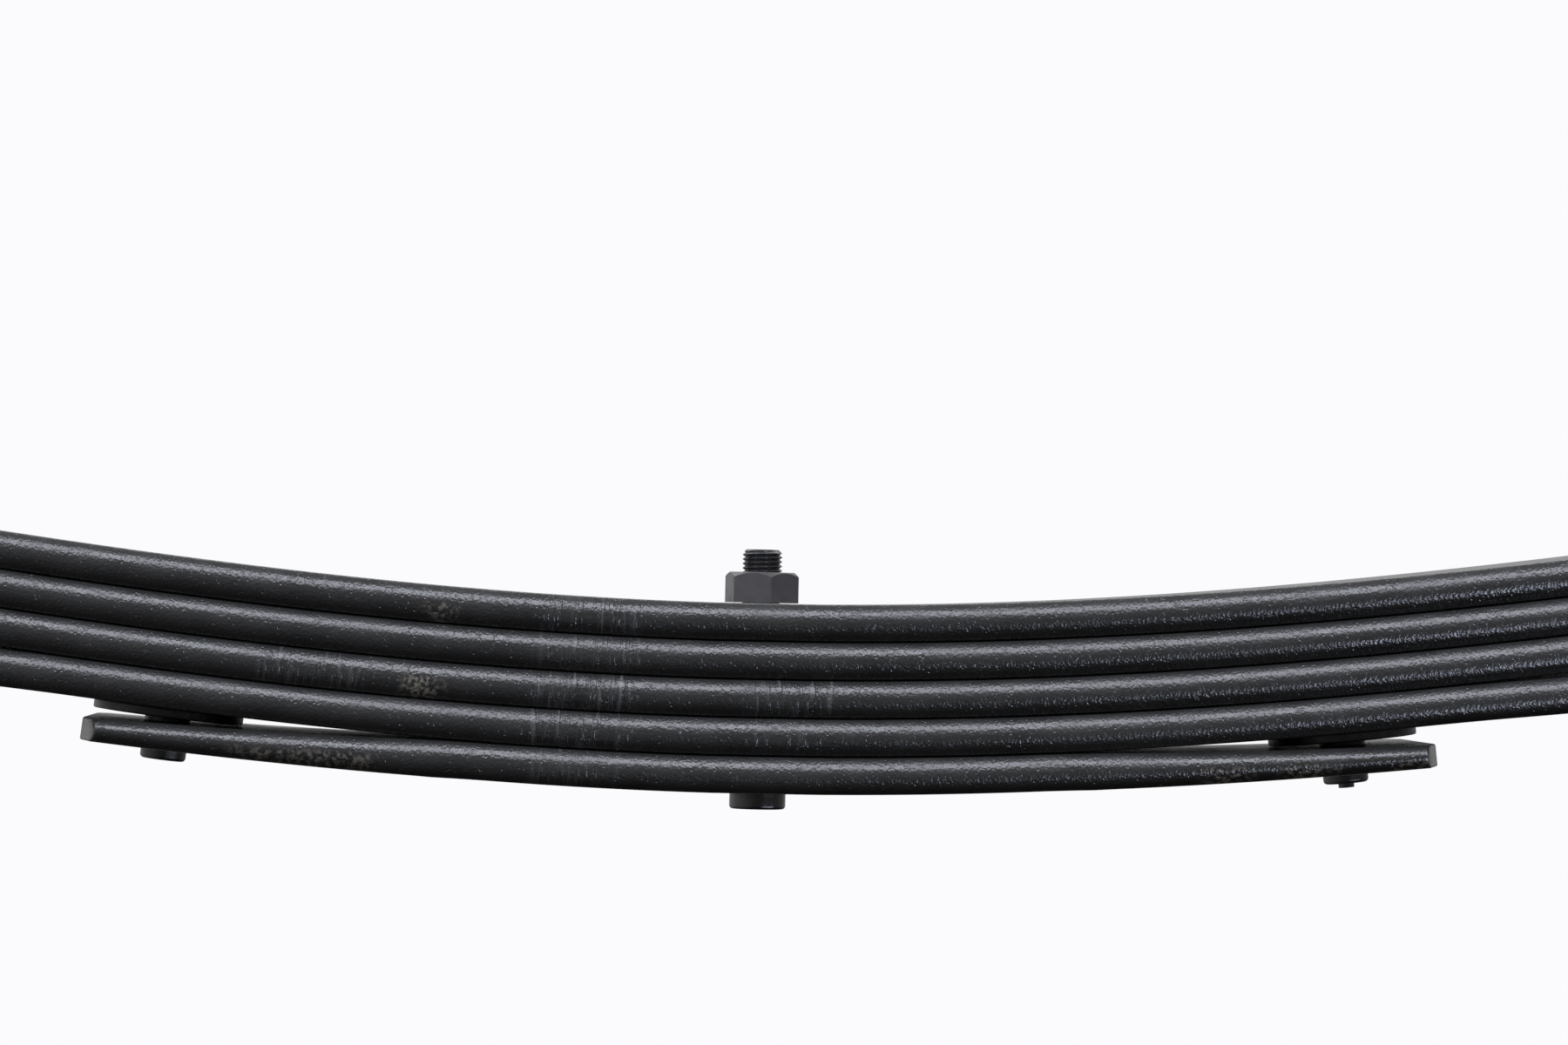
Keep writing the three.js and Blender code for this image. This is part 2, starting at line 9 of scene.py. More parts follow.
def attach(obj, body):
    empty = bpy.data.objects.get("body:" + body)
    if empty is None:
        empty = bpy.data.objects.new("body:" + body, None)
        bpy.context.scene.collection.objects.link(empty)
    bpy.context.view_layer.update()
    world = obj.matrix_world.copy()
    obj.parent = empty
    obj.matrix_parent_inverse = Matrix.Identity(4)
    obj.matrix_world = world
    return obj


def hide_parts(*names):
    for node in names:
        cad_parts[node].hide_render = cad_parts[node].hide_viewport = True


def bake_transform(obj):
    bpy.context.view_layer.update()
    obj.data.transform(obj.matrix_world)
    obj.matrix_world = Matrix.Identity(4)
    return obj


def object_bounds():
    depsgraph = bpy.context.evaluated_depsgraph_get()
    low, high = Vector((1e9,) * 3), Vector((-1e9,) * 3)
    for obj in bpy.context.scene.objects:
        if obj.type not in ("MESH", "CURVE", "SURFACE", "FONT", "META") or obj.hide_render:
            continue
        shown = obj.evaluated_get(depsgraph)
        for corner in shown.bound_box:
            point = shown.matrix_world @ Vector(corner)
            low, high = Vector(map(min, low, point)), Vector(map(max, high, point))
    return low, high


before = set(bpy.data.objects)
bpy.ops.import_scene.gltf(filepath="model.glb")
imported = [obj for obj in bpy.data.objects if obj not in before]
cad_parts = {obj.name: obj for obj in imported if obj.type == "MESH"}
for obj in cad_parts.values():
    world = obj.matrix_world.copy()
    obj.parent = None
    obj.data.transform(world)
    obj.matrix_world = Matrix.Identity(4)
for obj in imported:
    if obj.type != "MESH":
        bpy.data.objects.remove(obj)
cad_low, cad_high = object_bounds()


# ---- Camera, light and floor ----
# A long lens level with the top of the stack, a little left of the centre bolt and held slightly askew.
# A wide soft box high in front of the spring, a weaker one behind and a small one low on the right, in a
# white surround, over a pale floor that lies well below the spring.

mm = 0.001
CAMERA_PLACE = (-70 * mm, -1300 * mm, 43.5 * mm)
CAMERA_YAW, CAMERA_PITCH, CAMERA_ROLL = (math.radians(a) for a in (3.30, 0.90, 1.233))
SKY_IN_FRONT, SKY_BEHIND, SKY_SHARE_BELOW, SKY_MORE_AT_LEFT = 0.36, 0.7, 0.04, 0.5
FLOOR_DROP = 350 * mm
FLOOR_FADE_FROM, FLOOR_RADIUS = 1.2, 3.2


def turn(angle, axis):
    return Matrix.Rotation(angle, 4, axis)


scene = bpy.context.scene
scene.view_settings.view_transform = "Standard"
lens = bpy.data.cameras.new("camera")
lens.lens, lens.sensor_width = 125.1, 36
lens.clip_start, lens.clip_end = 0.05, 60
camera = bpy.data.objects.new("camera", lens)
camera.matrix_world = (
    Matrix.Translation(CAMERA_PLACE)
    @ turn(-CAMERA_YAW, "Z")
    @ turn(math.pi / 2 + CAMERA_PITCH, "X")
    @ turn(CAMERA_ROLL, "Z")
)
scene.collection.objects.link(camera)
scene.camera = camera


def linear(code):
    """An sRGB hex value as linear red, green, blue and full alpha."""
    srgb = np.array([int(code[i : i + 2], 16) for i in (1, 3, 5)]) / 255
    low, high = srgb / 12.92, ((srgb + 0.055) / 1.055) ** 2.4
    return (*np.where(srgb <= 0.04045, low, high).tolist(), 1.0)


def soft_box(name, place, aim, size, power, tint):
    """A flat soft light at a place, turned to face another, that the camera doesn't see."""
    data = bpy.data.lights.new(name, "AREA")
    data.shape, (data.size, data.size_y) = "RECTANGLE", size
    data.energy, data.color = power, linear(tint)[:3]
    light = bpy.data.objects.new(name, data)
    light.location = place
    light.rotation_euler = (Vector(aim) - Vector(place)).to_track_quat("-Z", "Y").to_euler()
    light.visible_camera = False
    scene.collection.objects.link(light)


soft_box("front_soft_box", (0, -1.75, 2.1), (0, 0, 0), (5.5, 0.9), 175, "#eef2ff")
soft_box("back_soft_box", (0, 1.75, 2.1), (0, 0, 0), (5.5, 1.3), 45, "#f6f8ff")
soft_box("low_right_soft_box", (2.0, -2.0, -1.3), (0.1, 0, 0), (2.4, 0.9), 150, "#dfe7ff")


def add(tree, kind, inputs=None, **properties):
    """A node of one kind: its properties, then its inputs by name or number, each a value or a node
    to link."""
    made = tree.nodes.new(kind)
    for name, value in properties.items():
        setattr(made, name, value)
    for name, value in (inputs or {}).items():
        if isinstance(value, bpy.types.Node):
            value = value.outputs[0]
        if isinstance(value, bpy.types.NodeSocket):
            tree.links.new(value, made.inputs[name])
        else:
            made.inputs[name].default_value = value
    return made


def mapped(tree, value, start, end, low, high):
    """A value carried from the range start to end over to the range low to high, and held there."""
    return add(tree, "ShaderNodeMapRange", {0: value, 1: start, 2: end, 3: low, 4: high})


def reckon(tree, operation, *values):
    """One step of arithmetic on two or three values."""
    return add(tree, "ShaderNodeMath", dict(enumerate(values)), operation=operation)


def tinted(tree, share, colour, tint):
    """A colour with a share of a tint laid over it."""
    return add(tree, "ShaderNodeMix", {0: share, 6: colour, 7: tint}, data_type="RGBA").outputs[2]


def new_material(name):
    """A new material and its node tree, emptied."""
    made = bpy.data.materials.new(name)
    made.use_nodes = True
    made.node_tree.nodes.clear()
    return made, made.node_tree


# White surround: what the camera sees is even, what the paint mirrors is bright behind and at the left,
# dim in front and dimmer below.
world = bpy.data.worlds.new("white_surround")
world.use_nodes = True
scene.world = world
sky = world.node_tree
sky.nodes.clear()
direction = add(sky, "ShaderNodeSeparateXYZ", {0: add(sky, "ShaderNodeTexCoord").outputs["Generated"]})
level = mapped(sky, direction.outputs[1], -0.9, 0.9, SKY_IN_FRONT, SKY_BEHIND)
dusk = mapped(sky, direction.outputs[2], -0.55, 0.1, SKY_SHARE_BELOW, 1.0)
glow = mapped(sky, direction.outputs[0], -0.9, -0.25, SKY_MORE_AT_LEFT, 0.0)
brightness = reckon(sky, "ADD", reckon(sky, "MULTIPLY", level, dusk), glow)
mirrored = add(sky, "ShaderNodeBackground", {0: linear("#f8f8f8"), 1: brightness})
seen = add(sky, "ShaderNodeBackground", {0: linear("#fbfbfd"), 1: 1.0})
path = add(sky, "ShaderNodeLightPath")
mixed = add(sky, "ShaderNodeMixShader", {0: path.outputs["Is Camera Ray"], 1: mirrored, 2: seen})
add(sky, "ShaderNodeOutputWorld", {0: mixed})

# Pale floor, a disc that fades out at its rim so that it has no edge. The paint doesn't mirror it.
angle = np.linspace(0, 2 * np.pi, 96, endpoint=False)
rim = np.stack([np.cos(angle), np.sin(angle), 0 * angle], -1) * FLOOR_RADIUS
rim[:, 2] = cad_low.z - FLOOR_DROP
floor_mesh = bpy.data.meshes.new("floor")
floor_mesh.from_pydata(rim.tolist(), [], [list(range(len(rim)))])
floor = bpy.data.objects.new("floor", floor_mesh)
scene.collection.objects.link(floor)
pale, floor_tree = new_material("pale_matt_floor")
spot = add(floor_tree, "ShaderNodeTexCoord").outputs["Object"]
flat = add(floor_tree, "ShaderNodeVectorMath", {0: spot, 1: (1, 1, 0)}, operation="MULTIPLY")
reach = add(floor_tree, "ShaderNodeVectorMath", {0: flat}, operation="LENGTH").outputs["Value"]
fade = mapped(floor_tree, reach, FLOOR_FADE_FROM, FLOOR_RADIUS, 0.0, 1.0)
matt = add(floor_tree, "ShaderNodeBsdfDiffuse", {0: linear("#eeeef0")})
clear = add(floor_tree, "ShaderNodeBsdfTransparent")
faded = add(floor_tree, "ShaderNodeMixShader", {0: fade, 1: matt, 2: clear})
add(floor_tree, "ShaderNodeOutputMaterial", {0: faded})
floor_mesh.materials.append(pale)
floor.visible_glossy = floor.visible_diffuse = False


# ---- Leaves ----
# Five leaves of 63.5 x 8.7 mm spring steel bar with rolled round edges, curved hot, shot peened and dipped
# in satin black paint. The main leaf is rolled into an eye at each end and the second hooks round it.
# Each leaf is two halves that meet on the centre bolt, because each half bends with its own arm.

SEAT_RADIUS, ARM_RADIUS, BEND_REACH, SEAT_FLAT_HALF = 1053, 3450, 147, 12
LEAF_WIDTH, LEAF_THICKNESS, LEAF_CLEARANCE = 63.5, 8.7, 0.25
EDGE_BULGE, CORNER_ROUND, FACE_ROW = 2.4, 1.3, 0.4
TIP_THICKNESS, TIP_TAPER, TIP_CLIP_LENGTH, TIP_CLIP_WIDTH, TIP_ROUND = 5.4, 80, 3.5, 9, 0.5
TIP_ROUND_REACH, SHARP_EDGE = 2, 0.7
LEAVES = [
    {"name": "main_leaf", "half": 597},
    {"name": "second_leaf", "half": 597},
    {"name": "third_leaf", "half": 420, "opens": 270},
    {"name": "fourth_leaf", "half": 290, "opens": 154},
    {"name": "short_leaf", "half": 154.6, "opens": 61},
]
OPENING_BLEND = 20
EYE_RADIUS, EYE_TIP_GAP, WRAP_ANGLE, WRAP_GAP = 19.25, 2, math.radians(150), 2.5
PAD_FROM_TIP, PAD_DIAMETER, PAD_THICKNESS, PAD_CLEARANCE = 18, 35.5, 2.2, 0.25
PAD_PIN_DIAMETER, PAD_PIN_CLEARANCE = 10.8, 0.3
BOLT_DIAMETER, BOLT_HOLE_CLEARANCE = 9.5, 0.3
CLIPS = [{"name": "inner_clip", "leaf": 3, "station": 228}, {"name": "outer_clip", "leaf": 2, "station": 358}]
CLIP_WIDTH = 25
RIVET_DIAMETER, RIVET_SINK_DIAMETER, RIVET_SINK_DEPTH, RIVET_CLEARANCE = 8, 12.5, 2, 0.3
STATION_STEP, EYE_STEP, BOW_STEP, BOW_LENGTH, WELD = 2.5, math.radians(5), 0.5, 650, 0.0002
# lower and upper ends of the tools that cut the holes, and how far one runs past the face
BOLT_CUT, PIN_CUT, RIVET_CUT, CUT_OVER = (-20, 70), (-20, 20), -9, 1
# metres from leaf to leaf in the space of the paint's pattern, so that no two look alike
STOCK_APART = 2
# how much of the clearance under a clamped leaf is taken up
PAINT_BRIDGE = 0.23

PITCH = LEAF_THICKNESS + LEAF_CLEARANCE
EYE_OUTER = EYE_RADIUS + LEAF_THICKNESS
ticks = np.arange(0, BOW_LENGTH, BOW_STEP)
middles = (ticks[1:] + ticks[:-1]) / 2
curvature = 1 / ARM_RADIUS + (1 / SEAT_RADIUS - 1 / ARM_RADIUS) * np.exp(-((middles / BEND_REACH) ** 2))
slopes = np.append(0, np.cumsum(curvature * BOW_STEP))
lean = (slopes[1:] + slopes[:-1]) / 2
reaches, rises = (np.append(0, np.cumsum(part * BOW_STEP)) for part in (np.cos(lean), np.sin(lean)))


def bow(station):
    """Reach, rise and slope of the main leaf's upper face at an arc length from the centre bolt. The
    curvature is the arm's plus a bell curve of the station up to the seat's, summed to the slope, and
    the slope's cosine and sine are summed to the reach and the rise."""
    along, side = np.abs(station), np.sign(station)
    return (
        side * np.interp(along, ticks, reaches),
        np.interp(along, ticks, rises),
        side * np.interp(along, ticks, slopes),
    )


stack_depth = len(LEAVES) * PITCH - LEAF_CLEARANCE
seat_rise, seat_slope = bow(SEAT_FLAT_HALF)[1:]
SEAT_LEVEL = stack_depth * math.cos(seat_slope) - seat_rise


def below(station, depth):
    """The point a depth below the main leaf's upper face, square to it, as x and z. Over the seat the
    faces are level."""
    on_seat = np.abs(station) < SEAT_FLAT_HALF
    reach, rise, slope = bow(np.where(on_seat, SEAT_FLAT_HALF, station))
    share = np.where(on_seat, station / SEAT_FLAT_HALF, 1)
    x, z = reach + depth * np.sin(slope), rise - depth * np.cos(slope) + SEAT_LEVEL
    return np.stack([x * share, z + 0 * share], -1)


def opening(leaf, station):
    """How far a leaf stands off the one above: nothing, then a parabola, then straight, reaching the
    pad's thickness at the pad's inner edge."""
    if "opens" not in leaf:
        return 0 * station

    def ramp(length):
        length = np.maximum(length, 0)
        return np.where(length < OPENING_BLEND, length**2 / (2 * OPENING_BLEND), length - OPENING_BLEND / 2)

    inner_edge = leaf["half"] - PAD_FROM_TIP - PAD_DIAMETER / 2
    room = PAD_THICKNESS + 2 * PAD_CLEARANCE - LEAF_CLEARANCE
    return room * ramp(np.abs(station) - leaf["opens"]) / ramp(inner_edge - leaf["opens"])


def upper_depth(i, station):
    return i * PITCH + sum(opening(leaf, station) for leaf in LEAVES[: i + 1])


def thickness(i, station):
    """Full thickness, then a straight taper to the tip over the last stretch of a leaf without eyes."""
    if "opens" not in LEAVES[i]:
        return LEAF_THICKNESS + 0 * station
    taper = np.maximum(0, (np.abs(station) - LEAVES[i]["half"] + TIP_TAPER) / TIP_TAPER)
    return LEAF_THICKNESS - (LEAF_THICKNESS - TIP_THICKNESS) * taper


def lower_depth(i, station):
    return upper_depth(i, station) + thickness(i, station)


def under_leaf(i, station, length):
    """A frame on a leaf's underside, in metres: its X lies along the chord of a length of the
    underside, its Y across the leaf and its Z up."""
    x, z = below(station, lower_depth(i, station))
    ends = np.array([station - length / 2, station + length / 2])
    (x0, z0), (x1, z1) = below(ends, lower_depth(i, ends))
    return Matrix.Translation((x * mm, 0, z * mm)) @ turn(-math.atan2(z1 - z0, x1 - x0), "Y")


def eye_frame(side):
    """The eye's centre, and the directions up and outwards from its lowest point, as x and z."""
    slope = bow(side * LEAVES[0]["half"])[2]
    up, out = np.array([-np.sin(slope), np.cos(slope)]), side * np.array([np.cos(slope), np.sin(slope)])
    return below(side * LEAVES[0]["half"], 0) + up * EYE_RADIUS, up, out


def leaf_side(i, side):
    """Stations of one half of a leaf, and the points of its upper and lower face there: the bow, then
    for the two long leaves a turn round the eye, radius plus thickness from its centre."""
    leaf = LEAVES[i]
    straight = np.linspace(0, leaf["half"], math.ceil(leaf["half"] / STATION_STEP) + 1)
    upper, lower = (below(side * straight, depth(i, side * straight)) for depth in (upper_depth, lower_depth))
    if "opens" in leaf:
        return straight, upper, lower
    last = WRAP_ANGLE if i else 2 * math.pi - math.acos((EYE_RADIUS - EYE_TIP_GAP) / EYE_OUTER)
    share = np.linspace(0, 1, math.ceil(last / EYE_STEP) + 1)[1:]
    inner = EYE_OUTER + LEAF_CLEARANCE + (WRAP_GAP - LEAF_CLEARANCE) * share if i else EYE_RADIUS + 0 * share
    centre, up, out = eye_frame(side)
    ray = np.sin(last * share)[:, None] * out - np.cos(last * share)[:, None] * up
    upper = np.vstack([upper, centre + inner[:, None] * ray])
    lower = np.vstack([lower, centre + (inner[:, None] + LEAF_THICKNESS) * ray])
    return np.append(straight, leaf["half"] + last * share * EYE_RADIUS), upper, lower


def bar_section():
    """The bar's outline as across and share of depth: each long edge is an arc that bulges outwards,
    met by a small round at the two faces, and each face is flat with a row close to its corners."""
    half = LEAF_THICKNESS / 2
    radius = (half**2 + EDGE_BULGE**2) / (2 * EDGE_BULGE)
    arc_centre = LEAF_WIDTH / 2 - radius
    round_centre = arc_centre + math.sqrt((radius - CORNER_ROUND) ** 2 - (half - CORNER_ROUND) ** 2)
    meet = math.atan2(half - CORNER_ROUND, round_centre - arc_centre)
    corner, edge = np.linspace(math.pi / 2, meet, 7), np.linspace(meet, -meet, 17)[1:-1]
    drop = CORNER_ROUND * (1 - np.sin(corner))
    top = np.stack([round_centre + CORNER_ROUND * np.cos(corner), half - drop], -1)
    side = np.stack([arc_centre + radius * np.cos(edge), radius * np.sin(edge)], -1)
    near = np.vstack([top, side, (top * [1, -1])[::-1]])
    face = np.array([[round_centre - FACE_ROW, -half], [round_centre / 3, -half]])
    lower = np.vstack([face, (face * [-1, 1])[::-1]])
    outline = np.vstack([near, lower, (near * [-1, 1])[::-1], (lower * [-1, -1])])
    return outline[:, 0], (half - outline[:, 1]) / LEAF_THICKNESS


def closed(name, grid, ring=False, marks=None):
    """A closed mesh over a grid of points in millimetres. Columns close on themselves. The first and
    last row close on each other in a ring, and otherwise each ends in a flat face or a point. Marks
    are values per point that the material reads."""
    rows, columns = grid.shape[:2]
    index = np.arange(rows * columns).reshape(rows, columns)
    low, high = (index, np.roll(index, -1, 0)) if ring else (index[:-1], index[1:])
    quads = np.stack([low, np.roll(low, -1, 1), np.roll(high, -1, 1), high], -1).reshape(-1, 4)
    ends = [] if ring else [index[0][::-1].tolist(), index[-1].tolist()]
    mesh = bpy.data.meshes.new(name)
    mesh.from_pydata((grid.reshape(-1, 3) * mm).tolist(), [], quads.tolist() + ends)
    for mark, values in (marks or {}).items():
        kind, field = ("FLOAT_VECTOR", "vector") if values.ndim == 3 else ("FLOAT", "value")
        mesh.attributes.new(mark, kind, "POINT").data.foreach_set(field, values.astype(np.float32).ravel())
    shell = bmesh.new()
    shell.from_mesh(mesh)
    bmesh.ops.remove_doubles(shell, verts=shell.verts, dist=WELD * mm)
    if shell.calc_volume(signed=True) < 0:
        bmesh.ops.reverse_faces(shell, faces=shell.faces)
    shell.to_mesh(mesh)
    shell.free()
    piece = bpy.data.objects.new(name, mesh)
    scene.collection.objects.link(piece)
    return piece


def carve(piece, cutters):
    """Cuts solids out of a piece and removes them."""
    for cutter in cutters:
        cut = piece.modifiers.new("cut", "BOOLEAN")
        cut.object, cut.solver = cutter, "EXACT"
    whole = bpy.data.meshes.new_from_object(piece.evaluated_get(bpy.context.evaluated_depsgraph_get()))
    piece.modifiers.clear()
    piece.data = whole
    for cutter in cutters:
        bpy.data.objects.remove(cutter)


def smooth(piece, material, place=None, edge=math.radians(32)):
    """Puts a piece in its place, shades it smooth up to an edge angle and gives it its material."""
    if place is not None:
        piece.data.transform(place)
    piece.data.shade_smooth()
    piece.data.set_sharp_from_angle(angle=edge)
    piece.data.materials.clear()
    piece.data.materials.append(material)
    return piece


def turned(profile, steps=96):
    """A profile of radius and height carried round the upright axis: x and y are the radius times the
    angle's cosine and sine, z is the height."""
    radius, height = np.array(profile, float).T[:, :, None]
    around = np.linspace(0, 2 * np.pi, steps, endpoint=False)
    return np.stack([radius * np.cos(around), radius * np.sin(around), height + 0 * around], -1)


def drill(name, radius, low, high):
    """A plain round cutter along Z, from one height to another."""
    return closed(name, turned([(0, low), (radius, low), (radius, high), (0, high)]))


def clip_corners(piece, i, side):
    """Shears both corners off a leaf's tip and breaks the edges of the cuts."""
    leaf = LEAVES[i]
    shell = bmesh.new()
    shell.from_mesh(piece.data)
    slope = bow(side * leaf["half"])[2]
    along = Vector((math.cos(slope), 0, math.sin(slope))) * side
    tip = below(side * leaf["half"], upper_depth(i, side * leaf["half"]))
    for hand in (-1, 1):
        point = Vector((tip[0], 0, tip[1])) + Vector((0, hand * (LEAF_WIDTH / 2 - TIP_CLIP_WIDTH), 0))
        normal = along * TIP_CLIP_WIDTH + Vector((0, hand * TIP_CLIP_LENGTH, 0))
        parts = shell.verts[:] + shell.edges[:] + shell.faces[:]
        cut = bmesh.ops.bisect_plane(
            shell, geom=parts, plane_co=point * mm, plane_no=normal, clear_outer=True
        )
        rim = [part for part in cut["geom_cut"] if isinstance(part, bmesh.types.BMEdge)]
        bmesh.ops.contextual_create(shell, geom=rim)
    near_tip = (leaf["half"] - TIP_CLIP_LENGTH - TIP_ROUND_REACH) * mm
    sharp = [
        line
        for line in shell.edges
        if abs(line.verts[0].co.x) > near_tip and line.is_manifold and line.calc_face_angle() > SHARP_EDGE
    ]
    bmesh.ops.bevel(shell, geom=sharp, offset=TIP_ROUND * mm, segments=3, profile=0.5, affect="EDGES")
    shell.to_mesh(piece.data)
    shell.free()


# Satin black chassis paint on shot-peened steel: a soft sheen broken up by the dimples of the peening
# under it, with dust nibs, bare pits, and rows of short marks where the hot leaf was gripped, whose ridges
# carry a painted highlight.
# Places along a leaf, in millimetres from the bolt: leaf, middle, half length and strength of a mark.
GRIPPED = [
    (0, -40.7, 11.5, 0.8), (1, -41, 11, 0.7), (2, -42, 11.5, 1.0), (3, -43, 11.5, 0.8), (4, -43, 10, 0.4),
    (2, 5.8, 10.6, 0.8), (3, 5, 10, 0.35), (2, -104.5, 11.5, 0.5), (0, 236, 11.5, 0.6), (1, 312, 11, 0.6),
    (0, -318, 11.5, 0.7), (2, -262, 11, 0.6), (1, -404, 11, 0.5), (2, 298, 11, 0.5),
]
SCUFFED = [
    (0, -76, 3, 0.5), (2, -79, 4, 0.9), (4, 104.7, 5, 0.8), (4, 124, 6, 0.7), (4, 147, 6, 0.8),
    (4, -104, 16, 0.5), (0, 420, 9, 0.6), (0, -452, 7, 0.6), (1, 210, 6, 0.4), (3, -201, 7, 0.6),
]
MARK_FADE = 3


def marked(i, station, marks):
    """Sum of soft windows round the places of the marks on one leaf."""
    windows = [
        strength * np.clip((half + MARK_FADE / 2 - np.abs(station - middle)) / MARK_FADE, 0, 1)
        for leaf, middle, half, strength in marks
        if leaf == i
    ]
    return np.clip(sum(windows, 0 * station), 0, 1)


def noise(tree, place, size, detail):
    """Soft noise over a place, with features of a size in millimetres."""
    inputs = {"Vector": place, "Scale": 1 / (size * mm), "Detail": detail}
    return add(tree, "ShaderNodeTexNoise", inputs).outputs["Fac"]


def cells(tree, place, size):
    """Distance to the middle of the nearest of scattered cells of a size in millimetres."""
    inputs = {"Vector": place, "Scale": 1 / (size * mm)}
    return add(tree, "ShaderNodeTexVoronoi", inputs).outputs["Distance"]


def surface(tree, colour, rough, height, relief, **more):
    """The surface of a material: its colour, its roughness and a relief in millimetres."""
    bump = add(tree, "ShaderNodeBump", {"Height": height, "Distance": relief * mm, "Strength": 1.0})
    inputs = {"Base Color": colour, "Roughness": rough, "Normal": bump, **more}
    add(tree, "ShaderNodeOutputMaterial", {0: add(tree, "ShaderNodeBsdfPrincipled", inputs)})


def paint_material(name, peened, gripped):
    """Satin black paint; the peening shows through it, and marks show where a piece carries them."""
    paint, tree = new_material(name)
    if gripped:
        place = add(tree, "ShaderNodeAttribute", attribute_name="stock").outputs["Vector"]
    else:
        place = add(tree, "ShaderNodeTexCoord").outputs["Object"]
    # dimples left by the shot, 0.75 mm apart, and the paint's own grain of 0.5 mm
    height = reckon(tree, "ADD", cells(tree, place, 0.75), noise(tree, place, 0.5, 2.0))
    # pits of about 0.5 mm where scale flaked off before painting
    pits = mapped(tree, cells(tree, place, 1.3), 0.10, 0.24, 1.0, 0.0)
    height = reckon(tree, "MULTIPLY_ADD", pits, -0.9, height)
    # slow waves of the rolled bar, 20 mm long
    height = reckon(tree, "MULTIPLY_ADD", noise(tree, place, 20, 1.0), 0.8, height)
    # clouds of 9 mm, a little lighter and duller
    cloud = noise(tree, place, 9, 4.0)
    colour = tinted(tree, cloud, linear("#1a1a1a"), linear("#272727"))
    rough = mapped(tree, cloud, 0.3, 0.7, 0.25, 0.35)
    # dust nibs and chips in the paint, about 0.5 mm across and 9 mm apart
    nibs = mapped(tree, cells(tree, place, 9), 0.015, 0.035, 1.0, 0.0)
    colour = tinted(tree, reckon(tree, "MULTIPLY", nibs, 0.5), colour, linear("#8e9092"))
    if gripped:
        grip = add(tree, "ShaderNodeAttribute", attribute_name="grip").outputs["Fac"]
        scuff = add(tree, "ShaderNodeAttribute", attribute_name="scuff").outputs["Fac"]
        depth = add(tree, "ShaderNodeSeparateXYZ", {0: place}).outputs[2]
        # jaw teeth leave upright strokes about 1.5 mm apart, drawn out down the edge
        drawn_out = add(tree, "ShaderNodeMapping", {0: place, 3: (1.0, 0.1, 0.09)})
        strokes = noise(tree, drawn_out, 1.5, 2.0)
        teeth = reckon(tree, "MULTIPLY", mapped(tree, strokes, 0.45, 0.55, 0.0, 1.0), grip)
        height = reckon(tree, "MULTIPLY_ADD", teeth, -3.0, height)
        # their feet, at about two thirds of the depth, are black and dull
        above = mapped(tree, depth, 4.3 * mm, 5.1 * mm, 0.0, 1.0)
        under = mapped(tree, depth, 6.0 * mm, 6.6 * mm, 1.0, 0.0)
        foot = reckon(tree, "MULTIPLY", reckon(tree, "MULTIPLY", above, under), teeth)
        colour = tinted(tree, foot, colour, linear("#040404"))
        rough = reckon(tree, "MULTIPLY_ADD", foot, 0.6, rough)
        # and the ridges between them are painted lighter, a painted highlight where they would catch the
        # light
        ridge_highlight = reckon(tree, "MULTIPLY", mapped(tree, strokes, 0.37, 0.42, 0.45, 0.0), grip)
        colour = tinted(tree, ridge_highlight, colour, linear("#5c5c5f"))
        # scuffs: the paint is rubbed to grey in 1 mm patches, from 3 mm below the upper face down
        rubbed = mapped(tree, noise(tree, place, 1.1, 5.0), 0.47, 0.62, 0.0, 0.8)
        low = mapped(tree, depth, 3.0 * mm, 4.4 * mm, 0.0, 1.0)
        rubbed = reckon(tree, "MULTIPLY", reckon(tree, "MULTIPLY", rubbed, scuff), low)
        colour = tinted(tree, rubbed, colour, linear("#78736a"))
    surface(tree, colour, rough, height, peened, IOR=1.5)
    return paint


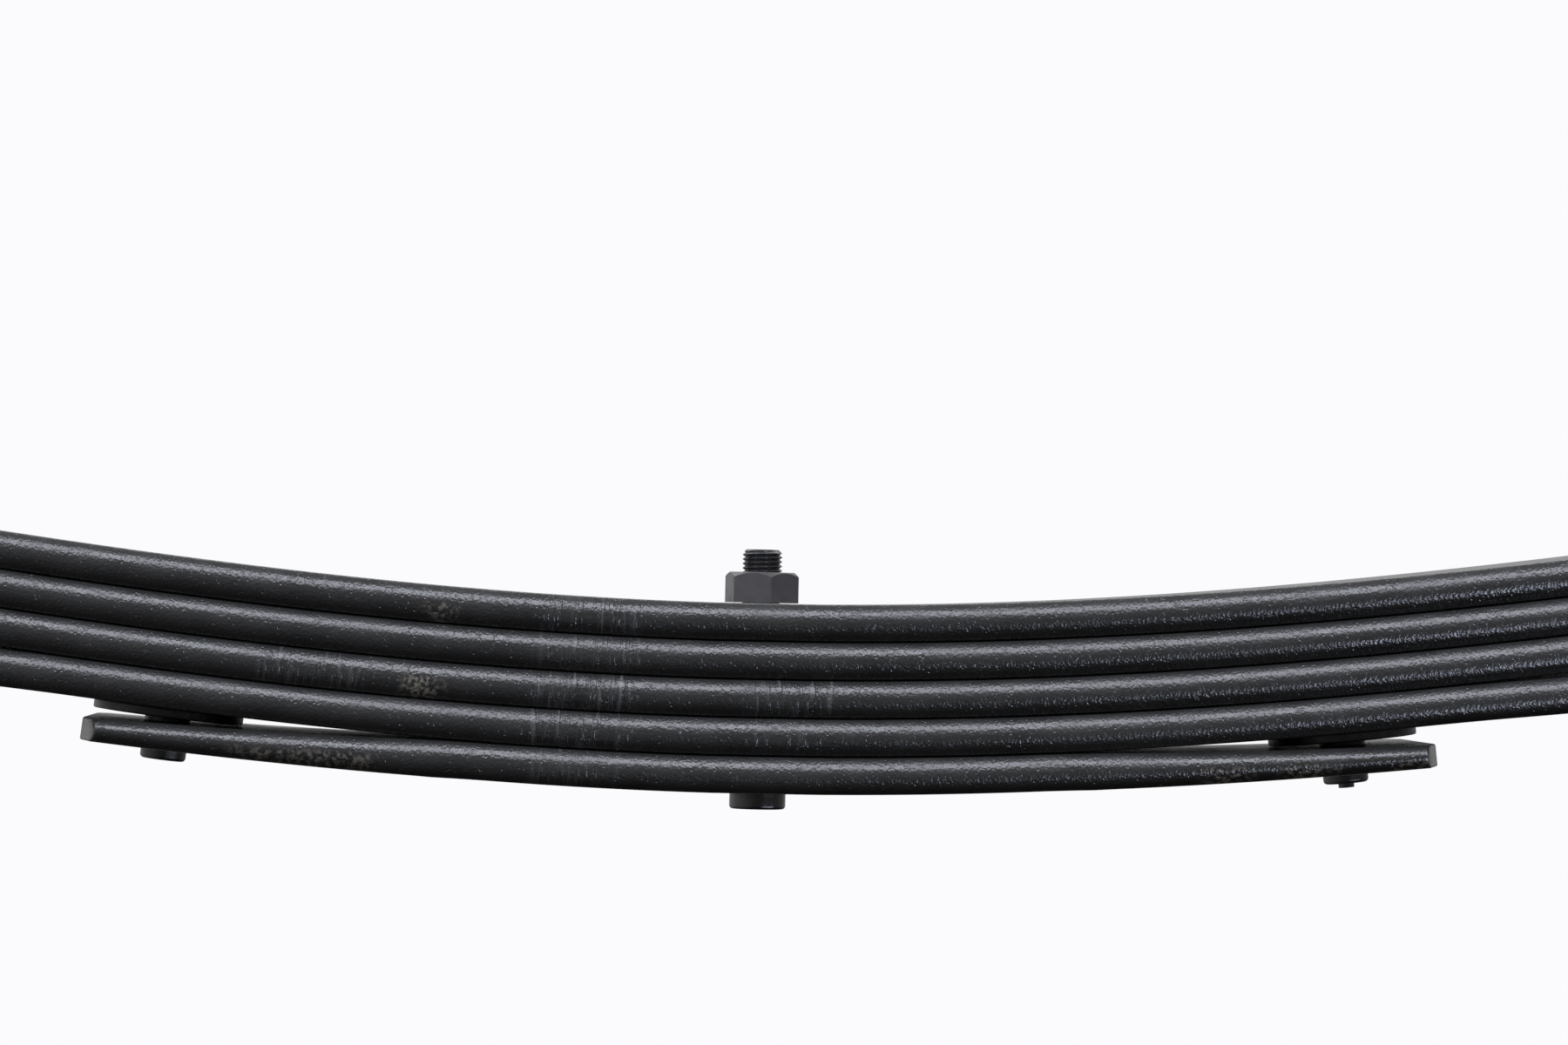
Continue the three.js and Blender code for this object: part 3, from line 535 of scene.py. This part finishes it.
leaf_paint = paint_material("satin_black_paint_on_peened_spring_steel", 0.06, True)
across, depth_share = bar_section()
bolt_hole = BOLT_DIAMETER / 2 + BOLT_HOLE_CLEARANCE
pin_hole = PAD_PIN_DIAMETER / 2 + PAD_PIN_CLEARANCE
shank_hole, sink_hole = (d / 2 + RIVET_CLEARANCE for d in (RIVET_DIAMETER, RIVET_SINK_DIAMETER))
for i, leaf in enumerate(LEAVES):
    # clamped leaves touch in the middle of their width, where paint bridges them
    bridge = 0 if leaf is LEAVES[-1] else PAINT_BRIDGE
    touching = (np.abs(across) < LEAF_WIDTH / 4) * depth_share * bridge / LEAF_THICKNESS
    for side, end in ((1, "front"), (-1, "rear")):
        station, upper, lower = leaf_side(i, side)
        points = upper[:, None] + (lower - upper)[:, None] * (depth_share + touching)[:, None]
        grid = np.stack([points[..., 0], across + 0 * points[..., 0], points[..., 1]], -1)
        # where a point lies in the flat bar: along it, across it and down from its upper face
        along = side * station[:, None] + 0 * across
        down = (lower - upper)[:, None, 1] * -depth_share
        marks = {
            "stock": np.stack([along * mm + STOCK_APART * i, grid[..., 1] * mm, down * mm], -1),
            "grip": marked(i, along, GRIPPED),
            "scuff": marked(i, along, SCUFFED),
        }
        half = closed(f"{end}_half_of_{leaf['name']}", grid, marks=marks)
        holes = [drill("bolt_hole", bolt_hole, *BOLT_CUT)]
        if "opens" in leaf:
            clip_corners(half, i, side)
            hole = drill("pin_hole", pin_hole, *PIN_CUT)
            hole.data.transform(under_leaf(i - 1, side * (leaf["half"] - PAD_FROM_TIP), PAD_DIAMETER))
            holes.append(hole)
        for clip in CLIPS:
            if clip["leaf"] == i:
                leaf_top = thickness(i, clip["station"])
                steps = [
                    (0, RIVET_CUT),
                    (shank_hole, RIVET_CUT),
                    (shank_hole, leaf_top - RIVET_SINK_DEPTH),
                    (sink_hole, leaf_top),
                    (sink_hole, leaf_top + CUT_OVER),
                    (0, leaf_top + CUT_OVER),
                ]
                hole = closed("rivet_hole", turned(steps))
                hole.data.transform(under_leaf(i, side * clip["station"], CLIP_WIDTH))
                holes.append(hole)
        carve(half, holes)
        smooth(half, leaf_paint)
        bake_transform(half)
        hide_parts(leaf["name"])


# ---- Centre bolt and nut ----
# A 3/8 in fine-thread bolt through the stack. Its round head below locates the spring on the axle, and
# a hexagon nut clamps the leaves from above. Turned and rolled steel, black finished before fitting.

BOLT_HEAD_DIAMETER, BOLT_HEAD_HEIGHT, BOLT_HEAD_ROUND, BOLT_HEAD_EDGE = 13.4, 4.4, 0.8, 0.25
STUD_PROUD, STUD_CHAMFER, THREAD_PITCH, THREAD_DEPTH = 5.4, 0.9, 25.4 / 24, 0.62
THREAD_START, THREAD_FLAT, SEAT_GAP = 4, 0.15, 0.15
NUT_FLATS, NUT_HEIGHT, NUT_CHAMFER, NUT_TURN = 15.9, 7.3, 1.2, math.radians(41)
HEX_TOP_SHARE, BORE_CHAMFER = 0.97, 0.6


def rounded(corners, segments=5):
    """An outline of radius, height and round. Each corner with a round becomes an arc that touches both
    of its sides: the centre lies on the corner's bisector, at the round over the sine of its half angle."""
    points = []
    spots = np.array([corner[:2] for corner in corners], float)
    for k, corner in enumerate(corners):
        if len(corner) < 3 or not corner[2]:
            points.append(spots[k])
            continue
        to_last, to_next = (spots[(k + step) % len(corners)] - spots[k] for step in (-1, 1))
        to_last, to_next = to_last / np.linalg.norm(to_last), to_next / np.linalg.norm(to_next)
        middle = to_last + to_next
        middle /= np.linalg.norm(middle)
        half_angle = math.acos(np.clip(middle @ to_last, -1, 1))
        centre = spots[k] + middle * corner[2] / math.sin(half_angle)
        reach = corner[2] / math.tan(half_angle)
        first, last = (spots[k] + way * reach - centre for way in (to_last, to_next))
        for share in np.linspace(0, 1, segments + 1):
            ray = first * (1 - share) + last * share
            points.append(centre + ray / np.linalg.norm(ray) * corner[2])
    return np.array(points)


def hexagon_radius(around, flats, corner_round=0.5):
    """Distance from the axis to a hexagon's side at an angle from one of its corners: half the flats over
    the cosine from the side's middle, and the arc of the round at each corner."""
    from_corner = np.abs((around + math.pi / 6) % (math.pi / 3) - math.pi / 6)
    side = flats / 2 / np.cos(math.pi / 6 - from_corner)
    out = (flats / 2 - corner_round) / math.cos(math.pi / 6)
    reach = corner_round**2 - (out * np.sin(from_corner)) ** 2
    arc = out * np.cos(from_corner) + np.sqrt(np.maximum(reach, 0))
    meet = math.atan2(corner_round * 0.5, out + corner_round * math.cos(math.pi / 6))
    return np.where(from_corner < meet, arc, side)


def hexagon(flats, low, high, bore, chamfer, both=False):
    """A nut or head as rings of points. Its side is the hexagon, and the chamfer is a cone that meets it
    lower at the corners than at the flats, which leaves the curved line round the top."""
    offsets = np.radians([0, 1, 2, 3, 4, 5, 10, 20, 30, 40, 50, 55, 56, 57, 58, 59])
    around = (np.arange(6)[:, None] * math.pi / 3 + offsets).ravel()
    side = hexagon_radius(around, flats)
    top = flats / 2 * HEX_TOP_SHARE + 0 * around
    fall = chamfer * (side - top) / (flats / math.sqrt(3) - top)
    rings = [(top, high + 0 * around), (side, high - fall)]
    rings += [(side, low + fall), (top, low + 0 * around)] if both else [(side, low + 0 * around)]
    if bore:
        hole, edge = bore + 0 * around, BORE_CHAMFER
        rings = [(hole, high - edge + 0 * around), (hole + edge, high + 0 * around), *rings]
        rings += [(hole + edge * both, low + 0 * around), (hole, low + edge * both + 0 * around)]
    else:
        rings = [(0 * around, high + 0 * around), *rings, (0 * around, low + 0 * around)]
    return np.stack([np.stack([r * np.cos(around), r * np.sin(around), z], -1) for r, z in rings])


def threaded(radius, low, high, pitch, depth, plain_to, chamfer, turns=64):
    """A rod along Z, plain up to a height and threaded above it. The radius falls from the crest by a
    triangle wave of height over pitch less the angle's share of a turn, cut off flat at crest and root,
    and an end cone takes the crests away."""
    heights = np.unique(np.concatenate([[low, plain_to], np.arange(plain_to, high, pitch / 12), [high]]))
    around = np.linspace(0, 2 * np.pi, turns, endpoint=False)
    z, a = np.meshgrid(heights, around, indexing="ij")
    wave = np.abs(((z / pitch - a / (2 * np.pi)) % 1) * 2 - 1)
    form = np.clip(wave * (1 + 2 * THREAD_FLAT) - THREAD_FLAT, 0, 1)
    groove = depth * form * np.clip((z - plain_to) / pitch, 0, 1)
    r = np.minimum(radius - groove, radius - chamfer + np.maximum(high - z, 0))
    wall = np.stack([r * np.cos(a), r * np.sin(a), z], -1)
    ends = [np.stack([0 * around, 0 * around, level + 0 * around], -1)[None] for level in (low, high)]
    return np.concatenate([ends[0], wall, ends[1]])


def stand_in(piece, node, body):
    """Lets a piece ride on its body in place of the plain solid."""
    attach(piece, body)
    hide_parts(node)


def dark_material(name, tones, roughness, grain):
    """A dark finish: two tones in soft clouds 3 mm across, and a surface grain of 0.25 mm."""
    made, tree = new_material(name)
    place = add(tree, "ShaderNodeTexCoord").outputs["Object"]
    cloud = noise(tree, place, 3, 4.0)
    dark, light = (linear(tone) for tone in tones)
    rough = mapped(tree, cloud, 0.3, 0.7, roughness - 0.05, roughness + 0.07)
    surface(tree, tinted(tree, cloud, dark, light), rough, noise(tree, place, 0.25, 3.0), grain)
    return made


# oiled phosphate gives the bolts a soft black shine, the dry one leaves the centre nut a dull grey
bolt_black = dark_material("oiled_black_phosphate_steel", ("#161618", "#262628"), 0.30, 0.010)
nut_grey = dark_material("dull_grey_phosphate_steel", ("#333133", "#403e40"), 0.36, 0.012)
head, stud = BOLT_HEAD_DIAMETER / 2, BOLT_DIAMETER / 2
under = -SEAT_GAP - BOLT_HEAD_HEIGHT
seat = stack_depth + SEAT_GAP
stud_top = seat + NUT_HEIGHT + STUD_PROUD
thread_from = stack_depth - THREAD_START
rod = threaded(stud, -SEAT_GAP, stud_top, THREAD_PITCH, THREAD_DEPTH, thread_from, STUD_CHAMFER, turns=96)
base = rounded(
    [(0, under), (head, under, BOLT_HEAD_ROUND), (head, -SEAT_GAP, BOLT_HEAD_EDGE), (stud, -SEAT_GAP)]
)
bolt_grid = np.concatenate([turned(base), rod[1:]])
centre_bolt = smooth(closed("round_headed_centre_bolt", bolt_grid), bolt_black)
stand_in(centre_bolt, "centre_bolt", "stack")
nut = hexagon(NUT_FLATS, seat, seat + NUT_HEIGHT, stud + BOLT_HOLE_CLEARANCE, NUT_CHAMFER)
centre_nut = smooth(closed("hexagon_nut_on_centre_bolt", nut, ring=True), nut_grey, turn(NUT_TURN, "Z"))
stand_in(centre_nut, "centre_nut", "stack")


# ---- Pads ----
# A slippery disc under each leaf tip, so that the tip slides without a squeak. Black nylon, moulded in
# one with the pin that snaps through the leaf below and shows as a short foot under it.

PAD_FOOT, PAD_FOOT_ROUND, PAD_RIM_ROUND = 3.1, 0.9, 0.35
GATE_RADIUS, GATE_HEIGHT, GATE_ROUND = 1.9, 1.1, 0.2

# a soft waxy sheen with hardly any grain
nylon = dark_material("moulded_black_nylon", ("#161617", "#232324"), 0.42, 0.006)
for i, leaf in enumerate(LEAVES):
    if "opens" not in leaf:
        continue
    station = leaf["half"] - PAD_FROM_TIP
    foot = lower_depth(i - 1, station) - lower_depth(i, station) - PAD_FOOT
    disc_top, disc_under, pin = -PAD_CLEARANCE, -PAD_CLEARANCE - PAD_THICKNESS, PAD_PIN_DIAMETER / 2
    for side, end in ((1, "front"), (-1, "rear")):
        # the gate where the nylon was fed in is left as a short stub on one foot
        gate = [(0, foot - GATE_HEIGHT), (GATE_RADIUS, foot - GATE_HEIGHT, GATE_ROUND), (GATE_RADIUS, foot)]
        start = gate if (leaf is LEAVES[-1] and side > 0) else [(0, foot)]
        outline = start + [
            (pin, foot, PAD_FOOT_ROUND),
            (pin, disc_under, 0),
            (PAD_DIAMETER / 2, disc_under, PAD_RIM_ROUND),
            (PAD_DIAMETER / 2, disc_top, PAD_RIM_ROUND),
            (0, disc_top),
        ]
        pad = closed(f"{end}_pad_under_{LEAVES[i - 1]['name']}_tip", turned(rounded(outline), 128))
        smooth(pad, nylon, under_leaf(i - 1, side * station, PAD_DIAMETER))
        stand_in(pad, f"{end}_{leaf['name']}_pad", f"{end}_{leaf['name']}_pad")


# ---- Eyes ----
# Two flanged bushing halves of moulded black urethane pressed into each eye from either side, and a
# zinc-plated steel sleeve through both, that the hanger or shackle bolt clamps.

BUSH_CLEARANCE, FLANGE_DIAMETER, FLANGE_THICKNESS = 0.25, 51, 5
BUSH_EDGE, BUSH_LEAD, FLANGE_FOOT, RECESS_ROUND = 0.3, 1.2, 1.0, 0.4
RECESS_OUTER, RECESS_INNER, RECESS_DEPTH = 16, 12, 0.6
SLEEVE_DIAMETER, SLEEVE_BORE, SLEEVE_PROUD, FACE_GAP = 19, 14.3, 0.6, 0.3
BORE_BREAK, RIM_BREAK = 0.8, 0.5

# matt and even, like rubber
urethane = dark_material("moulded_black_urethane", ("#131313", "#1e1e1e"), 0.52, 0.02)
# bright metal, cloudy over 4 mm, with turning lines round it that are really 0.15 mm apart and are
# drawn 0.3 mm apart so that they show
zinc, zinc_tree = new_material("bright_zinc_plate_on_turned_steel")
sleeve_place = add(zinc_tree, "ShaderNodeTexCoord").outputs["Object"]
lines = add(zinc_tree, "ShaderNodeMapping", {0: sleeve_place, 3: (0.02, 1.0, 0.02)})
plate_cloud = noise(zinc_tree, sleeve_place, 4, 4.0)
plate = tinted(zinc_tree, plate_cloud, linear("#8f9398"), linear("#c4c7c9"))
plate_rough = mapped(zinc_tree, plate_cloud, 0.3, 0.7, 0.24, 0.4)
surface(zinc_tree, plate, plate_rough, noise(zinc_tree, lines, 0.3, 2.0), 0.006, Metallic=1.0)

flange_face = LEAF_WIDTH / 2 + FACE_GAP
flange_end = flange_face + FLANGE_THICKNESS
bush_bore = SLEEVE_DIAMETER / 2 + BUSH_CLEARANCE
bush_outer = EYE_RADIUS - BUSH_CLEARANCE
bush = rounded(
    [
        (bush_bore, FACE_GAP / 2, BUSH_EDGE),
        (bush_outer, FACE_GAP / 2, BUSH_LEAD),
        (bush_outer, flange_face, BUSH_EDGE),
        (FLANGE_DIAMETER / 2, flange_face, FLANGE_FOOT),
        (FLANGE_DIAMETER / 2, flange_end, BUSH_LEAD),
        # a shallow moulded recess round the sleeve
        (RECESS_OUTER, flange_end, RECESS_ROUND),
        (RECESS_OUTER - RECESS_DEPTH, flange_end - RECESS_DEPTH, BUSH_EDGE),
        (RECESS_INNER + RECESS_DEPTH, flange_end - RECESS_DEPTH, BUSH_EDGE),
        (RECESS_INNER, flange_end, RECESS_ROUND),
        (bush_bore, flange_end, RECESS_ROUND),
    ]
)
sleeve_end = flange_end + SLEEVE_PROUD
inner, outer = SLEEVE_BORE / 2, SLEEVE_DIAMETER / 2
sleeve = [
    (inner, BORE_BREAK - sleeve_end),
    (inner + BORE_BREAK, -sleeve_end),
    (outer - RIM_BREAK, -sleeve_end),
    (outer, RIM_BREAK - sleeve_end),
    (outer, sleeve_end - RIM_BREAK),
    (outer - RIM_BREAK, sleeve_end),
    (inner + BORE_BREAK, sleeve_end),
    (inner, sleeve_end - BORE_BREAK),
]
for side, end in ((1, "front"), (-1, "rear")):
    centre = eye_frame(side)[0]
    at_eye = Matrix.Translation((centre[0] * mm, 0, centre[1] * mm))
    for hand, way in (("left", 1), ("right", -1)):
        half_bush = closed(f"{end}_{hand}_urethane_bushing", turned(bush, 128), ring=True)
        smooth(half_bush, urethane, at_eye @ turn(-way * math.pi / 2, "X"))
        stand_in(half_bush, f"{end}_eye_bushing_{hand}", f"{end}_eye")
    tube = closed(f"{end}_steel_sleeve", turned(sleeve, 128), ring=True)
    smooth(tube, zinc, at_eye @ turn(math.pi / 2, "X"))
    stand_in(tube, f"{end}_eye_sleeve", f"{end}_sleeve")


# ---- Rebound clips ----
# Two on each arm, to keep the leaves together on rebound: a strap of 25 x 5 mm flat steel bent round
# the leaves and riveted to the lowest of them, closed over the main leaf by an M8 bolt in a spacer tube.

CLIP_THICKNESS, CLIP_BEND_RADIUS, CLIP_SIDE_GAP, CLIP_TOP_GAP = 5, 7, 1.5, 3
CLIP_TUBE_DIAMETER, CLIP_TUBE_BORE, TUBE_BORE_ROUND, TUBE_RIM_ROUND = 14, 9, 0.4, 0.5
CLIP_BOLT_DIAMETER, CLIP_BOLT_CLEARANCE, CLIP_BOLT_CHAMFER, CLIP_BOLT_PROUD = 8, 0.3, 0.9, 3
CLIP_THREAD_PITCH, CLIP_THREAD_DEPTH, CLIP_THREAD_LENGTH = 1.25, 0.7, 22
CLIP_HEX_FLATS, CLIP_HEAD_HEIGHT, CLIP_NUT_HEIGHT, CLIP_HEX_CHAMFER = 13, 5.3, 6.5, 0.8
RIVET_HEAD_DIAMETER, RIVET_HEAD_HEIGHT, STRAP_EDGE_ROUND = 15, 4.2, 0.7
SIDE_CUT, FLOOR_CUT = (-60, 60), (-20, 9)

inner_half = LEAF_WIDTH / 2 + CLIP_SIDE_GAP
outer_half = inner_half + CLIP_THICKNESS
strap_under = -FACE_GAP - CLIP_THICKNESS


def strap_grid(bolt):
    """A strap as a flat bar's rounded section carried along a U: up one side, round two bends and up the
    other. Above the bolt its width follows a half circle down to nothing."""
    radius = CLIP_BEND_RADIUS - CLIP_THICKNESS / 2
    middle = outer_half - CLIP_THICKNESS / 2
    level = -FACE_GAP - CLIP_THICKNESS / 2
    over = np.sin(np.linspace(math.pi / 2, 0, 16)) * CLIP_WIDTH / 2
    leg = np.concatenate([bolt + over, np.linspace(bolt, level + radius, 12)[1:]])
    down = np.stack([middle + 0 * leg, leg], -1)
    turns = np.linspace(0, math.pi / 2, 9)[1:]
    bend = np.stack([middle - radius + radius * np.cos(turns), level + radius - radius * np.sin(turns)], -1)
    floor_run = np.stack([np.linspace(middle - radius, 0, 8)[1:], np.full(7, level)], -1)
    half = np.vstack([down, bend, floor_run])
    line = np.vstack([half, half[-2::-1] * [-1, 1]])
    step = np.gradient(line, axis=0)
    step /= np.linalg.norm(step, axis=1)[:, None]
    outward = np.stack([-step[:, 1], step[:, 0]], -1)
    wide = np.sqrt(np.maximum((CLIP_WIDTH / 2) ** 2 - np.maximum(line[:, 1] - bolt, 0) ** 2, 0))
    thick = CLIP_THICKNESS / 2
    arc = np.linspace(0, math.pi / 2, 5)
    corner = np.stack([np.cos(arc), np.sin(arc)], -1) * STRAP_EDGE_ROUND
    across, up, inset = [], [], []
    for sx, sz in ((1, 1), (-1, 1), (-1, -1), (1, -1)):
        for cx, cz in corner if sx * sz > 0 else corner[::-1]:
            across.append(sx)
            inset.append(sx * (cx - STRAP_EDGE_ROUND))
            up.append(sz * (thick - STRAP_EDGE_ROUND + cz))
    across, inset, up = np.array(across), np.array(inset), np.array(up)
    share = np.clip(wide / (2 * STRAP_EDGE_ROUND), 0, 1)
    x = across * wide[:, None] + inset * share[:, None]
    y = line[:, :1] + outward[:, :1] * up
    z = line[:, 1:] + outward[:, 1:] * up
    return np.stack([x, y, z], -1)


# the same paint, smoother here because flat steel isn't peened
clip_paint = paint_material("satin_black_paint_on_flat_steel", 0.010, False)
clip_seat = outer_half + SEAT_GAP
bolt_tail = clip_seat + CLIP_NUT_HEIGHT + CLIP_BOLT_PROUD
bolt_radius = CLIP_BOLT_DIAMETER / 2
bolt_bore = bolt_radius + CLIP_BOLT_CLEARANCE
shank_grid = threaded(
    bolt_radius,
    -clip_seat,
    bolt_tail,
    CLIP_THREAD_PITCH,
    CLIP_THREAD_DEPTH,
    bolt_tail - CLIP_THREAD_LENGTH,
    CLIP_BOLT_CHAMFER,
) * [1, 1, -1]
tube_end = inner_half - FACE_GAP
tube_inner, tube_outer = CLIP_TUBE_BORE / 2, CLIP_TUBE_DIAMETER / 2
tube_outline = rounded(
    [
        (tube_inner, -tube_end, TUBE_BORE_ROUND),
        (tube_outer, -tube_end, TUBE_RIM_ROUND),
        (tube_outer, tube_end, TUBE_RIM_ROUND),
        (tube_inner, tube_end, TUBE_BORE_ROUND),
    ]
)
head_top, shank, sink = strap_under - SEAT_GAP, RIVET_DIAMETER / 2, RIVET_SINK_DIAMETER / 2
dome_angles = np.linspace(0, math.pi / 2, 12)
dome_height = RIVET_HEAD_HEIGHT * np.cos(dome_angles)
dome = np.stack([RIVET_HEAD_DIAMETER / 2 * np.sin(dome_angles), head_top - dome_height], -1)
for clip in CLIPS:
    i, station = clip["leaf"], clip["station"]
    bolt_level = lower_depth(i, station) + CLIP_TOP_GAP + CLIP_TUBE_DIAMETER / 2
    across_bolt = Matrix.Translation((0, 0, bolt_level * mm)) @ turn(math.pi / 2, "X")
    leaf_top = thickness(i, station)
    rivet_rest = [
        (shank, head_top),
        (shank, leaf_top - RIVET_SINK_DEPTH - SEAT_GAP),
        (sink, leaf_top - SEAT_GAP),
        (0, leaf_top - SEAT_GAP),
    ]
    for side, end in ((1, "front"), (-1, "rear")):
        place = under_leaf(i, side * station, CLIP_WIDTH)
        body = f"{end}_{clip['name']}"
        holes = [
            drill("bolt_hole", bolt_bore, *SIDE_CUT),
            drill("rivet_hole", RIVET_DIAMETER / 2 + RIVET_CLEARANCE, *FLOOR_CUT),
        ]
        holes[0].data.transform(across_bolt)
        strap = closed(f"{body}_bent_strap", strap_grid(bolt_level))
        carve(strap, holes)
        smooth(strap, clip_paint, place)
        stand_in(strap, f"{body}_strap", body)

        rivet = closed(f"{body}_domed_rivet", turned(np.vstack([dome, rivet_rest]), 64))
        smooth(rivet, clip_paint, place)
        stand_in(rivet, f"{body}_rivet", body)

        spacer = closed(f"{body}_spacer_tube", turned(tube_outline, 64), ring=True)
        smooth(spacer, clip_paint, place @ across_bolt)
        stand_in(spacer, f"{body}_tube", body)

        cap = hexagon(CLIP_HEX_FLATS, clip_seat, clip_seat + CLIP_HEAD_HEIGHT, 0, CLIP_HEX_CHAMFER)
        bolt_piece = closed(f"{body}_hexagon_bolt", cap)
        shank_piece = closed("shank", shank_grid)
        join = bolt_piece.modifiers.new("join", "BOOLEAN")
        join.operation, join.object, join.solver = "UNION", shank_piece, "EXACT"
        carve(bolt_piece, [])
        bpy.data.objects.remove(shank_piece)
        smooth(bolt_piece, bolt_black, place @ across_bolt)
        stand_in(bolt_piece, f"{body}_bolt", body)

        nut_low, nut_high = -clip_seat - CLIP_NUT_HEIGHT, -clip_seat
        nut_grid = hexagon(CLIP_HEX_FLATS, nut_low, nut_high, bolt_bore, CLIP_HEX_CHAMFER, True)
        nut_piece = closed(f"{body}_hexagon_nut", nut_grid, ring=True)
        smooth(nut_piece, bolt_black, place @ across_bolt)
        stand_in(nut_piece, f"{body}_nut", body)
